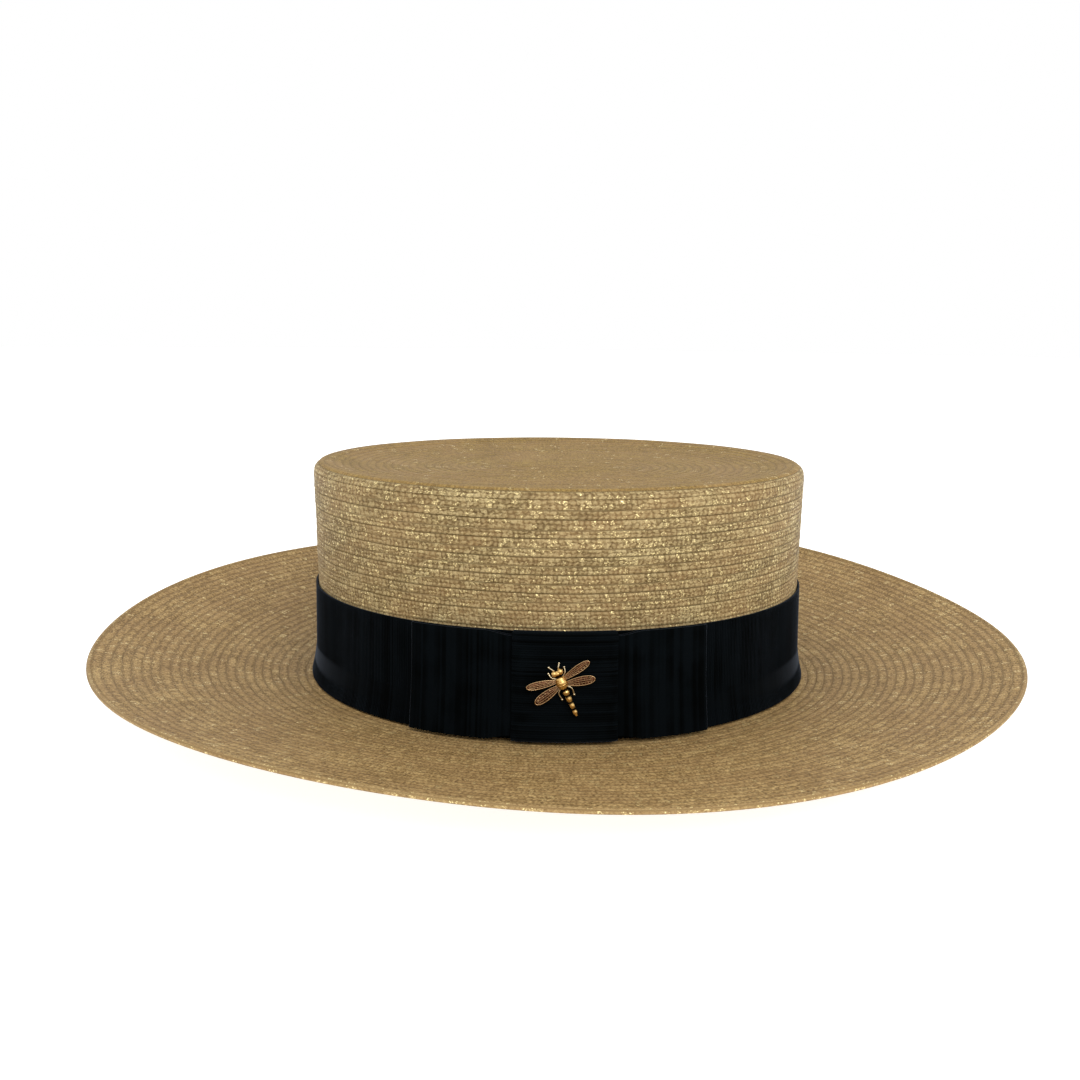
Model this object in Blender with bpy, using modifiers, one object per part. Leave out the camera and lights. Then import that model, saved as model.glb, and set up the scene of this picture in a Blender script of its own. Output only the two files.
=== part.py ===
# A straw boater hat with a ribbon band, a flat bow and a brass dragonfly pin.
# Metres, +Z up. The hat stands on the ring round its head opening, whose centre is the origin.
# The long axis of its oval lies along X with the front of the hat at -X, and the bow is on the
# wearer's left, at -Y.
import math
from collections import namedtuple

import bmesh
import bpy
from mathutils import Matrix, Vector

MM = 0.001

# Inside of the crown where it is narrowest, at the top of the ribbon: its girth is about 566 mm,
# which is size 56 to 57.
HEAD_LONG = 194.8 * MM
HEAD_SHORT = 164.8 * MM
# A ring of the hat is named by its short half-axis, its radius. The long half-axis is greater by
# the same stretch on every ring, which keeps walls and rows evenly wide all round.
HEAD_RADIUS = HEAD_SHORT / 2
STRETCH = (HEAD_LONG - HEAD_SHORT) / 2

STRAW = 1.5 * MM
GAP = 0.3 * MM
AROUND = 72

CROWN_HEIGHT = 89 * MM
SHOULDER_RADIUS = 4 * MM
SHOULDER_STEPS = 3
TIP_CORE_RADIUS = 6 * MM
# How far the crown's wall spreads from its narrowest place down to its foot.
CROWN_FLARE = 3.0 * MM

# The flat ring that the hat stands on: the brim's inner margin, under the crown's foot.
FOOT_WIDTH = 5.2 * MM
FOOT_INSIDE_CROWN = 3.3 * MM
BRIM_WIDTH = 82.2 * MM
BRIM_RINGS = 5
# Share of the brim's rise that is a straight slope; the rest is an upward curl to the edge.
BRIM_STRAIGHT = 0.72

RIBBON = 1.0 * MM
RIBBON_WIDTH = 38 * MM

# The bow, measured across the front of the hat from its centre line.
BOW_LEFT = -51.5 * MM
BOW_RIGHT = 53 * MM
KNOT_LEFT = -15.5 * MM
KNOT_RIGHT = 21 * MM
LOOP_GAP = 0.3 * MM
EAR_STEPS = 4
FOLD_STEPS = 4
KNOT_STEPS = 6
KNOT_BEND = 1.0 * MM
KNOT_BEND_STEPS = 2
KNOT_SLACK = 0.6 * MM
PINCH = 1.4 * MM
PINCH_MARGIN = 1 * MM
PINCH_LENGTH = 9 * MM

# The pin, in its own frame: X across, Z along the body, -Y out from the ribbon.
PIN_X = 3.2 * MM
PIN_HEIGHT = 21 * MM
PIN_LEAN = math.radians(-24)
PIN_AXIS_DEPTH = 1.0 * MM
POST_RADIUS = 0.8 * MM
POST_HOLE_RADIUS = 1.2 * MM
POST_LENGTH = 1.5 * MM
WING_THICKNESS = 0.9 * MM
WING_LIFT = math.radians(5)
WING_POINTS = 20
# Width of a wing's outline at its root, as a share of the oval that its tip follows.
WING_ROOT_SHARE = 0.5
WING_ROOT_ASIDE = 0.6 * MM
WELD = 0.001 * MM
EYE_RADIUS = 1.1 * MM
EYE_OUT = 1.3 * MM
EYE_HEIGHT = 7.7 * MM
BODY_STEPS = 12
BACK_CUT = 40 * MM

CROWN_FOOT = STRAW + 2 * GAP
BAND_BOTTOM = CROWN_FOOT
BAND_TOP = BAND_BOTTOM + RIBBON_WIDTH

# Outer surface of the crown's side, from its foot to the start of the shoulder.
CrownRow = namedtuple("CrownRow", "height inset")
CROWN_SIDE = (
    CrownRow(CROWN_FOOT, 0.0 * MM),
    CrownRow(4 * MM, 0.3 * MM),
    CrownRow(8 * MM, 1.6 * MM),
    CrownRow(13 * MM, 2.3 * MM),
    CrownRow(BAND_TOP, CROWN_FLARE),
    CrownRow(CROWN_HEIGHT - SHOULDER_RADIUS, 2.6 * MM),
)

# The tip dips from the shoulder towards the middle: share of the tip's radius, depth of the dip.
TipRow = namedtuple("TipRow", "share dip")
CROWN_TIP = (
    TipRow(0.88, 1.8 * MM),
    TipRow(0.68, 3.0 * MM),
    TipRow(0.35, 3.6 * MM),
)
TIP_CORE_DIP = 3.8 * MM

# Height of the brim's edge above the foot, as a mean and slow waves round the oval.
EDGE_RISE = 20.4 * MM
EdgeWave = namedtuple("EdgeWave", "turns along_x along_y")
EDGE_WAVES = (
    EdgeWave(1, -0.4 * MM, 4.8 * MM),
    EdgeWave(2, -1.35 * MM, 1.3 * MM),
    EdgeWave(4, -0.5 * MM, -1.35 * MM),
)

# Turned profile of the dragonfly: height along the body, radius there.
BodyRow = namedtuple("BodyRow", "height radius")
BODY = (
    BodyRow(8.6 * MM, 0.0 * MM),
    BodyRow(8.3 * MM, 0.85 * MM),
    BodyRow(7.4 * MM, 1.35 * MM),
    BodyRow(6.4 * MM, 0.75 * MM),
    BodyRow(5.5 * MM, 1.6 * MM),
    BodyRow(3.9 * MM, 2. * MM),
    BodyRow(2.2 * MM, 1.6 * MM),
    BodyRow(1.3 * MM, 0.9 * MM),
    BodyRow(0.2 * MM, 1.25 * MM),
    BodyRow(-1.1 * MM, 0.9 * MM),
    BodyRow(-2.4 * MM, 1.1 * MM),
    BodyRow(-3.7 * MM, 0.8 * MM),
    BodyRow(-5.0 * MM, 1. * MM),
    BodyRow(-6.3 * MM, 0.7 * MM),
    BodyRow(-7.5 * MM, 0.9 * MM),
    BodyRow(-8.8 * MM, 0.5 * MM),
    BodyRow(-9.3 * MM, 0.0 * MM),
)

# One wing of each pair: where it leaves the body, its length, width and slant above level.
Wing = namedtuple("Wing", "root_height length width slant")
WINGS = (
    Wing(4.7 * MM, 11.2 * MM, 3.2 * MM, math.radians(13)),
    Wing(3.1 * MM, 10.6 * MM, 3.9 * MM, math.radians(-12)),
)

CROWN_FOOT_RADIUS = HEAD_RADIUS + CROWN_FLARE + STRAW
FOOT_INNER_RADIUS = CROWN_FOOT_RADIUS - FOOT_INSIDE_CROWN
FOOT_RADIUS = FOOT_INNER_RADIUS + FOOT_WIDTH
BRIM_RADIUS = CROWN_FOOT_RADIUS + GAP + RIBBON + BRIM_WIDTH
LOOP_FOLD = (RIBBON + LOOP_GAP) / 2
# How far the middle of each ply lies outside the crown.
BAND_OUT = GAP + RIBBON / 2
KNOT_BACK_OUT = BAND_OUT + RIBBON + GAP
LOOP_BACK_OUT = KNOT_BACK_OUT + RIBBON + GAP
LOOP_FRONT_OUT = LOOP_BACK_OUT + 2 * LOOP_FOLD
KNOT_FRONT_OUT = LOOP_FRONT_OUT + RIBBON + GAP
PIN_OUT = KNOT_FRONT_OUT + RIBBON / 2 + GAP
LOOP_BOTTOM = BAND_BOTTOM + 0.9 * MM
LOOP_TOP = LOOP_BOTTOM + RIBBON_WIDTH


def clear_scene():
    for item in list(bpy.data.objects):
        bpy.data.objects.remove(item, do_unlink=True)


def new_collection(name):
    collection = bpy.data.collections.new(name)
    bpy.context.scene.collection.children.link(collection)
    return collection


def new_material(name, colour, roughness, metallic=0.0):
    material = bpy.data.materials.new(name)
    material.use_nodes = True
    shader = material.node_tree.nodes["Principled BSDF"]
    shader.inputs["Base Color"].default_value = (*colour, 1.0)
    shader.inputs["Roughness"].default_value = roughness
    shader.inputs["Metallic"].default_value = metallic
    return material


def new_object(name, mesh, collection, material=None):
    item = bpy.data.objects.new(name, mesh)
    collection.objects.link(item)
    if material:
        mesh.materials.append(material)
    return item


def new_cutter(name, mesh, collection):
    item = new_object(name, mesh, collection)
    item.hide_render = True
    item.display_type = "WIRE"
    return item


def oval_point(radius, height, angle):
    return Vector(((radius + STRETCH) * math.cos(angle), radius * math.sin(angle), height))


def oval_ring(radius, height_at):
    angles = [2 * math.pi * step / AROUND for step in range(AROUND)]
    return [oval_point(radius, height_at(angle), angle) for angle in angles]


def level_ring(radius, height):
    return oval_ring(radius, lambda angle: height)


def loft(name, sections, cap_last=False):
    """A surface whose faces join each closed section of points to the next one."""
    builder = bmesh.new()
    rings = [[builder.verts.new(point) for point in section] for section in sections]
    for low, high in zip(rings, rings[1:]):
        for step in range(len(low)):
            following = (step + 1) % len(low)
            builder.faces.new((low[step], low[following], high[following], high[step]))
    if cap_last:
        builder.faces.new(rings[-1])
    mesh = bpy.data.meshes.new(name)
    builder.to_mesh(mesh)
    builder.free()
    mesh.shade_smooth()
    mesh.set_sharp_from_angle(angle=math.radians(40))
    return mesh


def thicken(item, thickness, offset):
    solidify = item.modifiers.new("wall", "SOLIDIFY")
    solidify.thickness = thickness
    solidify.offset = offset
    solidify.use_even_offset = True
    solidify.use_rim = True


def blend(low, high, share):
    return low + (high - low) * share


def crown_radius(height):
    """Radius of the crown's outer surface at a height on its side."""
    for below, above in zip(CROWN_SIDE, CROWN_SIDE[1:]):
        if height <= above.height:
            share = (height - below.height) / (above.height - below.height)
            return CROWN_FOOT_RADIUS - blend(below.inset, above.inset, max(share, 0.0))
    return CROWN_FOOT_RADIUS - CROWN_SIDE[-1].inset


def make_crown(collection, material):
    sections = [level_ring(CROWN_FOOT_RADIUS - row.inset, row.height) for row in CROWN_SIDE]
    tip_radius = CROWN_FOOT_RADIUS - CROWN_SIDE[-1].inset - SHOULDER_RADIUS
    shoulder_base = CROWN_HEIGHT - SHOULDER_RADIUS
    for step in range(1, SHOULDER_STEPS + 1):
        turn = math.pi / 2 * step / SHOULDER_STEPS
        radius = tip_radius + SHOULDER_RADIUS * math.cos(turn)
        sections.append(level_ring(radius, shoulder_base + SHOULDER_RADIUS * math.sin(turn)))
    for row in CROWN_TIP:
        sections.append(level_ring(tip_radius * row.share, CROWN_HEIGHT - row.dip))
    sections.append(level_ring(TIP_CORE_RADIUS, CROWN_HEIGHT - TIP_CORE_DIP))
    crown = new_object("crown", loft("crown", sections, cap_last=True), collection, material)
    thicken(crown, STRAW, -1)
    return crown


def edge_rise(angle):
    rise = EDGE_RISE
    for wave in EDGE_WAVES:
        turned = wave.turns * angle
        rise += wave.along_x * math.cos(turned) + wave.along_y * math.sin(turned)
    return rise


def make_brim(collection, material):
    """The underside from the flat margin out to the edge, thickened upwards."""
    sections = [level_ring(FOOT_INNER_RADIUS, 0), level_ring(FOOT_RADIUS, 0)]
    for step in range(1, BRIM_RINGS + 1):
        share = step / BRIM_RINGS
        lift = BRIM_STRAIGHT * share + (1 - BRIM_STRAIGHT) * share * share
        radius = blend(FOOT_RADIUS, BRIM_RADIUS, share)
        sections.append(oval_ring(radius, lambda angle, lift=lift: lift * edge_rise(angle)))
    brim = new_object("brim", loft("brim", sections), collection, material)
    thicken(brim, STRAW, -1)
    return brim


def make_ribbon_band(collection, material):
    heights = [row.height for row in CROWN_SIDE if row.height <= BAND_TOP]
    sections = [level_ring(crown_radius(height) + BAND_OUT, height) for height in heights]
    band = new_object("ribbon_band", loft("ribbon_band", sections), collection, material)
    thicken(band, RIBBON, 0)
    return band


def front_point(turn, out, height):
    """A point on the bow's side: its turn from the centre line and how far it is off the crown."""
    return oval_point(crown_radius(height) + out, height, turn - math.pi / 2)


def front_turn(across):
    return math.asin(across / (CROWN_FOOT_RADIUS + STRETCH + LOOP_FRONT_OUT))


def pinch_at(turn):
    """How much each edge of the loops is drawn in: fully under the knot, fading beside it."""
    across = math.sin(turn) * (CROWN_FOOT_RADIUS + STRETCH + LOOP_FRONT_OUT)
    beyond = max(KNOT_LEFT - PINCH_MARGIN - across, across - KNOT_RIGHT - PINCH_MARGIN, 0.0)
    share = max(0.0, 1.0 - beyond / PINCH_LENGTH)
    return PINCH * share * share * (3 - 2 * share)


def spread(start, end, steps):
    return [blend(start, end, step / steps) for step in range(steps)]


def loop_stations():
    """Places across the bow: even steps on each ear and under the knot."""
    knot_left, knot_right = KNOT_LEFT - PINCH_MARGIN, KNOT_RIGHT + PINCH_MARGIN
    stations = spread(BOW_LEFT, knot_left, EAR_STEPS)
    stations += spread(knot_left, knot_right, KNOT_STEPS)
    stations += spread(knot_right, BOW_RIGHT, EAR_STEPS)
    return stations + [BOW_RIGHT]


def fold_points(end_turn, side):
    """The round fold at one end of the loops, on the right (side 1) or the left (side -1)."""
    points = []
    for step in range(1, FOLD_STEPS):
        swing = math.pi * step / FOLD_STEPS
        reach = LOOP_FOLD * math.sin(swing) / (CROWN_FOOT_RADIUS + STRETCH)
        out = LOOP_BACK_OUT + LOOP_FOLD - side * LOOP_FOLD * math.cos(swing)
        points.append((end_turn + side * reach, out))
    return points


def loop_path():
    """The ribbon's way round the two ears, as turn and distance from the crown."""
    turns = [front_turn(across) for across in loop_stations()]
    path = [(turn, LOOP_BACK_OUT) for turn in turns]
    path += fold_points(turns[-1], 1)
    path += [(turn, LOOP_FRONT_OUT) for turn in reversed(turns)]
    path += fold_points(turns[0], -1)
    return path


def make_bow_loops(collection, material):
    path = loop_path()
    middle_heights = [row.height for row in CROWN_SIDE if LOOP_BOTTOM + PINCH < row.height < BAND_TOP]
    sections = [[front_point(turn, out, LOOP_BOTTOM + pinch_at(turn)) for turn, out in path]]
    sections += [[front_point(turn, out, height) for turn, out in path] for height in middle_heights]
    sections.append([front_point(turn, out, LOOP_TOP - pinch_at(turn)) for turn, out in path])
    loops = new_object("bow_loops", loft("bow_loops", sections), collection, material)
    thicken(loops, RIBBON, 0)
    return loops


def knot_path():
    """The knot's way round the loops, as distance from the crown and height."""
    low = LOOP_BOTTOM + PINCH - KNOT_SLACK - RIBBON / 2
    high = LOOP_TOP - PINCH + KNOT_SLACK + RIBBON / 2
    sides = [row.height for row in CROWN_SIDE if low + KNOT_BEND < row.height < high - KNOT_BEND]
    corners = (
        (KNOT_BACK_OUT + KNOT_BEND, high - KNOT_BEND, math.pi),
        (KNOT_FRONT_OUT - KNOT_BEND, high - KNOT_BEND, math.pi / 2),
        (KNOT_FRONT_OUT - KNOT_BEND, low + KNOT_BEND, 0.0),
        (KNOT_BACK_OUT + KNOT_BEND, low + KNOT_BEND, -math.pi / 2),
    )
    bends = []
    for out, height, start in corners:
        swings = [start - math.pi / 2 * step / KNOT_BEND_STEPS for step in range(KNOT_BEND_STEPS + 1)]
        bends.append([(out + KNOT_BEND * math.cos(swing), height + KNOT_BEND * math.sin(swing))
                      for swing in swings])
    back = [(KNOT_BACK_OUT, height) for height in sides]
    front = [(KNOT_FRONT_OUT, height) for height in reversed(sides)]
    return back + bends[0] + bends[1] + front + bends[2] + bends[3]


def make_bow_knot(collection, cutters, material):
    path = knot_path()
    stations = spread(KNOT_LEFT, KNOT_RIGHT, KNOT_STEPS) + [KNOT_RIGHT]
    turns = [front_turn(across) for across in stations]
    sections = [[front_point(turn, out, height) for out, height in path] for turn in turns]
    knot = new_object("bow_knot", loft("bow_knot", sections), collection, material)
    thicken(knot, RIBBON, 0)
    drill = cylinder("knot_hole", POST_HOLE_RADIUS, 2 * RIBBON, cutters)
    drill.matrix_world = pin_place() @ along_post(GAP + RIBBON / 2)
    combine(knot, "post hole", "DIFFERENCE", drill)
    return knot


def primitive(name, collection, make, **sizes):
    """A cutter from one of the ready-made shapes."""
    builder = bmesh.new()
    make(builder, **sizes)
    mesh = bpy.data.meshes.new(name)
    builder.to_mesh(mesh)
    builder.free()
    return new_cutter(name, mesh, collection)


def cylinder(name, radius, depth, collection):
    return primitive(name, collection, bmesh.ops.create_cone, cap_ends=True, segments=BODY_STEPS,
                     radius1=radius, radius2=radius, depth=depth)


def along_post(depth):
    """Turns a cylinder into the post's direction, with its middle this deep behind the pin."""
    return Matrix.Translation((0, depth, 0)) @ Matrix.Rotation(math.pi / 2, 4, "X")


def pin_place():
    """The pin's frame: on the knot's face, its -Y along the outward normal."""
    turn = front_turn(PIN_X)
    spot = front_point(turn, PIN_OUT, PIN_HEIGHT)
    aside = front_point(front_turn(PIN_X + MM), PIN_OUT, PIN_HEIGHT) - spot
    upward = front_point(turn, PIN_OUT, PIN_HEIGHT + MM) - spot
    aside.normalize()
    inward = upward.cross(aside).normalized()
    upward = aside.cross(inward)
    frame = Matrix((aside, inward, upward)).transposed().to_4x4()
    return Matrix.Translation(spot) @ frame


def wing_outline(wing):
    points = []
    for step in range(WING_POINTS):
        swing = 2 * math.pi * step / WING_POINTS
        share = (1 - math.cos(swing)) / 2
        half = wing.width / 2 * blend(WING_ROOT_SHARE, 1, share)
        points.append((wing.length * share, half * math.sin(swing)))
    return points


def wing_mesh(name, wing):
    """A flat wing from its outline, as a filled curve with half its thickness extruded."""
    curve = bpy.data.curves.new(name, "CURVE")
    curve.dimensions = "2D"
    curve.fill_mode = "BOTH"
    curve.extrude = WING_THICKNESS / 2
    spline = curve.splines.new("POLY")
    outline = wing_outline(wing)
    spline.points.add(len(outline) - 1)
    for point, (along, across) in zip(spline.points, outline):
        point.co = (along, across, 0, 1)
    spline.use_cyclic_u = True
    guide = bpy.data.objects.new(name, curve)
    bpy.context.scene.collection.objects.link(guide)
    graph = bpy.context.evaluated_depsgraph_get()
    mesh = bpy.data.meshes.new_from_object(guide.evaluated_get(graph))
    bpy.data.objects.remove(guide, do_unlink=True)
    builder = bmesh.new()
    builder.from_mesh(mesh)
    bmesh.ops.remove_doubles(builder, verts=builder.verts, dist=WELD)
    bmesh.ops.recalc_face_normals(builder, faces=builder.faces)
    builder.to_mesh(mesh)
    builder.free()
    return mesh


def place_wing(name, wing, side, place, cutters):
    item = new_cutter(name, wing_mesh(name, wing), cutters)
    turn = Matrix.Rotation(-wing.slant, 4, "Y") @ Matrix.Rotation(-WING_LIFT, 4, "Z")
    half_turn = Matrix.Rotation(math.pi / 2, 4, "X")
    root = Matrix.Translation((WING_ROOT_ASIDE, -PIN_AXIS_DEPTH, wing.root_height))
    mirror = Matrix.Diagonal((side, 1, 1, 1))
    item.matrix_world = place @ mirror @ root @ turn @ half_turn
    if side < 0:
        item.data.flip_normals()
    return item


def place_eye(name, side, place, cutters):
    item = primitive(name, cutters, bmesh.ops.create_uvsphere, u_segments=8, v_segments=6,
                     radius=EYE_RADIUS)
    item.matrix_world = place @ Matrix.Translation((side * EYE_RADIUS, -EYE_OUT, EYE_HEIGHT))
    return item


def combine(item, name, operation, other):
    step = item.modifiers.new(name, "BOOLEAN")
    step.operation = operation
    step.object = other


def make_dragonfly_pin(collection, cutters, material):
    """Body turned on its long axis, cut flat behind, with eyes, four wings and a post soldered on."""
    mesh = bpy.data.meshes.new("dragonfly_pin")
    points = [(row.radius, 0, row.height) for row in BODY]
    mesh.from_pydata(points, [(step, step + 1) for step in range(len(points) - 1)], [])
    pin = new_object("dragonfly_pin", mesh, collection, material)
    place = pin_place() @ Matrix.Rotation(PIN_LEAN, 4, "Y")
    pin.matrix_world = place @ Matrix.Translation((0, -PIN_AXIS_DEPTH, 0))
    turned = pin.modifiers.new("turned body", "SCREW")
    turned.steps = BODY_STEPS
    turned.render_steps = BODY_STEPS
    turned.use_merge_vertices = True
    turned.merge_threshold = WELD
    for side in (1, -1):
        hand = "right" if side > 0 else "left"
        combine(pin, "eye " + hand, "UNION", place_eye("eye_" + hand, side, place, cutters))
        for pair, wing in zip(("fore", "hind"), WINGS):
            label = pair + "_wing_" + hand
            combine(pin, label, "UNION", place_wing(label, wing, side, place, cutters))
    cut = primitive("flat_back", cutters, bmesh.ops.create_cube, size=BACK_CUT)
    cut.matrix_world = place @ Matrix.Translation((0, BACK_CUT / 2, 0))
    combine(pin, "flat back", "DIFFERENCE", cut)
    post = cylinder("post", POST_RADIUS, POST_LENGTH + PIN_AXIS_DEPTH, cutters)
    post.matrix_world = pin_place() @ along_post((POST_LENGTH - PIN_AXIS_DEPTH) / 2)
    combine(pin, "post", "UNION", post)
    return pin


def make_hat():
    hat = new_collection("straw_boater_hat")
    cutters = new_collection("cutters")
    straw = new_material("plaited_straw", (0.45, 0.31, 0.13), 0.55)
    ribbon = new_material("black_ribbon", (0.006, 0.007, 0.010), 0.75)
    brass = new_material("antiqued_brass", (0.42, 0.27, 0.10), 0.35, metallic=1.0)
    make_crown(hat, straw)
    make_brim(hat, straw)
    make_ribbon_band(hat, ribbon)
    make_bow_loops(hat, ribbon)
    make_bow_knot(hat, cutters, ribbon)
    make_dragonfly_pin(hat, cutters, brass)


clear_scene()
make_hat()
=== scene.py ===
# The looks of a straw boater hat: rows of sewn braid, ribbed ribbon, a cast brass dragonfly and
# a plain pale studio. Metres, +Z up, in the frame of the solids: the front of the hat is at -X
# and the bow faces -Y, towards the camera.
import math
from collections import namedtuple

import bmesh
import bpy
import numpy as np
from mathutils import Matrix, Vector


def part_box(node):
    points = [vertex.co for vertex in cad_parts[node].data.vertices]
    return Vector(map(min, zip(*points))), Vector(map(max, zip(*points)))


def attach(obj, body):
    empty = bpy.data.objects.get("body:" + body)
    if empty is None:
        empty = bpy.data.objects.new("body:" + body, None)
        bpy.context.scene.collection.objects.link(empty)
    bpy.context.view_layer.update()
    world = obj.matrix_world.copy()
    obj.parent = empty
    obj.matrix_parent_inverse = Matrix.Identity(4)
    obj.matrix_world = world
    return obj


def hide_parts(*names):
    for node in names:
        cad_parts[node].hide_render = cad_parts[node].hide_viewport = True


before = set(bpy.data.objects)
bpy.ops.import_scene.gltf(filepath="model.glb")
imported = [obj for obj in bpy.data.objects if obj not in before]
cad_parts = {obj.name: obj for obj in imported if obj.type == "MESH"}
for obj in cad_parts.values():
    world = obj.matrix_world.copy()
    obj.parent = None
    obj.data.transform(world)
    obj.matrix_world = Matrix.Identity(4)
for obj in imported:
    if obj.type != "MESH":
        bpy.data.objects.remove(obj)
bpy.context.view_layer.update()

MM = 0.001

# Sizes that the solids give. A ring of the hat is named by its short half-axis, its radius, and
# its long half-axis is greater by the same stretch on every ring.
CROWN_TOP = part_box("crown")[1]
STRETCH = CROWN_TOP.x - CROWN_TOP.y
CROWN_FOOT_RADIUS = CROWN_TOP.y
CROWN_HEIGHT = CROWN_TOP.z
BRIM_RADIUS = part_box("brim")[1].y

STRAW = 1.5 * MM
GAP = 0.3 * MM
CROWN_FOOT = STRAW + 2 * GAP
SHOULDER_RADIUS = 4 * MM
FOOT_INNER_RADIUS = CROWN_FOOT_RADIUS - 3.3 * MM
FOOT_RADIUS = FOOT_INNER_RADIUS + 5.2 * MM
# Share of the brim's rise that goes up evenly; the rest curves up towards the edge.
BRIM_STRAIGHT = 0.72
RIBBON_SOLID = 1.0 * MM
RIBBON_WIDTH = 38 * MM
BAND_BOTTOM = CROWN_FOOT
BAND_TOP = BAND_BOTTOM + RIBBON_WIDTH

# Bends in the crown's outline are eased over these reaches.
SIDE_EASE = 7 * MM
SHOULDER_EASE = 3 * MM
CrownRow = namedtuple("CrownRow", "height inset")
CROWN_SIDE = (
    CrownRow(CROWN_FOOT, 0.0 * MM),
    CrownRow(4 * MM, 0.3 * MM),
    CrownRow(8 * MM, 1.6 * MM),
    CrownRow(13 * MM, 2.3 * MM),
    CrownRow(BAND_TOP, 3.0 * MM),
    CrownRow(CROWN_HEIGHT - SHOULDER_RADIUS, 2.6 * MM),
)

# The tip dips from the shoulder towards the middle: share of the tip's radius, depth in mm.
TipRow = namedtuple("TipRow", "share dip")
CROWN_TIP = [TipRow(share, dip * MM) for share, dip in ((0.88, 1.8), (0.68, 3.0), (0.35, 3.6), (0.0, 3.8))]

# Height of the brim's edge above the foot, as a mean and slow waves round the oval.
EDGE_RISE = 20.4 * MM
EdgeWave = namedtuple("EdgeWave", "turns along_x along_y")
EDGE_WAVES = (
    EdgeWave(1, -0.4 * MM, 4.8 * MM),
    EdgeWave(2, -1.35 * MM, 1.3 * MM),
    EdgeWave(4, -0.5 * MM, -1.35 * MM),
)

# The braid: a flat plait of paper straw, sewn round and round like roof tiles. The side's rows are
# given from the foot up: the last one is mostly hidden by the tip.
BRAID = 3.15 * MM
SIDE_WIDTHS = (3.7 * MM, 3.7 * MM, *[BRAID] * 22, 3.6 * MM, 3.6 * MM, 2.8 * MM)
# Millimetres along a braid from one strand to the next, and the strands between two narrow gaps.
STRAND_STEP = 1.74
STRANDS_A_GROUP = 4.0
BraidPoint = namedtuple("BraidPoint", "place height")


def section(*points):
    """A braid's section, from places across it, 0 to 1, and heights over the wall in mm."""
    return [BraidPoint(place, height * MM) for place, height in points]


# On the side every second row is pressed closer to the one below it, so a deep line and a faint
# one take turns.
DEEP_SECTION = section((0.00, -0.22), (0.08, -0.10), (0.28, 0.02), (0.60, 0.05), (0.85, 0.05), (0.96, 0.01))
RAISED_SECTION = section((0.00, 0.01), (0.15, 0.02), (0.45, 0.04), (0.72, 0.10), (0.88, 0.13), (0.965, 0.03))
# On the tip and the brim the rows lie flatter.
FLAT_BRAID = 3.35 * MM
FLAT_SECTION = section((0.00, -0.15), (0.12, -0.10), (0.33, 0.00), (0.52, 0.04), (0.74, 0.01), (0.93, -0.08))
SOFT_SECTION = section((0.00, -0.11), (0.15, -0.07), (0.42, 0.03), (0.70, 0.02), (0.92, -0.06))
# Inside and underneath, the same rows show as shallow lines.
BACK_BRAID = 6.3 * MM
BACK_SECTION = section((0.0, 0.20), (0.12, -0.10), (0.75, -0.12))
# Hand sewing: how far a row strays sideways and up, and the points round the crown and the brim.
ROW_WANDER = 0.16 * MM
ROW_PUCKER = 0.06 * MM
AROUND_CROWN = 240
AROUND_BRIM = 320
EDGE_BEAD = 0.9 * MM

# Ribbon: the plies are as thin as real ribbon and lie inside the thicker solids.
PLY = 0.5 * MM
RIB = 0.8 * MM
RIB_HEIGHT = 0.09 * MM
POINTS_PER_RIB = 4
BAND_OUT = GAP + RIBBON_SOLID / 2
KNOT_BACK_OUT = BAND_OUT + RIBBON_SOLID + GAP
LOOP_BACK_OUT = KNOT_BACK_OUT + RIBBON_SOLID + GAP
LOOP_FOLD = (RIBBON_SOLID + GAP) / 2
LOOP_FRONT_OUT = LOOP_BACK_OUT + 2 * LOOP_FOLD
BOW_REACH = CROWN_FOOT_RADIUS + STRETCH + LOOP_FRONT_OUT
KNOT_FRONT_OUT = LOOP_FRONT_OUT + RIBBON_SOLID + GAP + 0.2 * MM
PIN_OUT = LOOP_FRONT_OUT + RIBBON_SOLID + GAP + RIBBON_SOLID / 2 + GAP
LOOP_BOTTOM = BAND_BOTTOM + 0.9 * MM
LOOP_TOP = LOOP_BOTTOM + RIBBON_WIDTH
BOW_LEFT = -51.5 * MM
BOW_RIGHT = 53 * MM
KNOT_LEFT = -15.5 * MM
KNOT_RIGHT = 21 * MM
PINCH = 1.4 * MM
PINCH_MARGIN = 1 * MM
PINCH_LENGTH = 9 * MM
LOOP_BELLY = 0.35 * MM
LOOP_PULL = 0.1 * MM
KNOT_SLACK = 0.6 * MM
KNOT_BEND = 1.0 * MM
KNOT_CURL = 0.55 * MM
KNOT_CURL_SHARE = 0.06

# The pin, in its own frame: X across, Z along the body, -Y out from the ribbon.
PIN_X = 3.2 * MM
PIN_HEIGHT = 21 * MM
PIN_LEAN = math.radians(-24)
PIN_AXIS_DEPTH = 1.0 * MM
BodyRow = namedtuple("BodyRow", "height radius")
BODY = [BodyRow(height * MM, radius * MM) for height, radius in (
    (8.6, 0.0), (8.3, 0.85), (7.4, 1.35), (6.4, 0.75), (5.5, 1.6), (3.9, 2.0),
    (2.2, 1.6), (1.3, 0.9), (0.2, 1.25), (-1.1, 0.9), (-2.4, 1.1), (-3.7, 0.8),
    (-5.0, 1.0), (-6.3, 0.7), (-7.5, 0.9), (-8.8, 0.5), (-9.3, 0.0),
)]
PIN_BACK = -0.05 * MM
EYE_RADIUS = 1.1 * MM
EYE_OUT = 1.3 * MM
EYE_HEIGHT = 7.7 * MM
THORAX_LINES = (4.7 * MM, 3.3 * MM)
THORAX_LINE_RADIUS = 0.16 * MM
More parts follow.
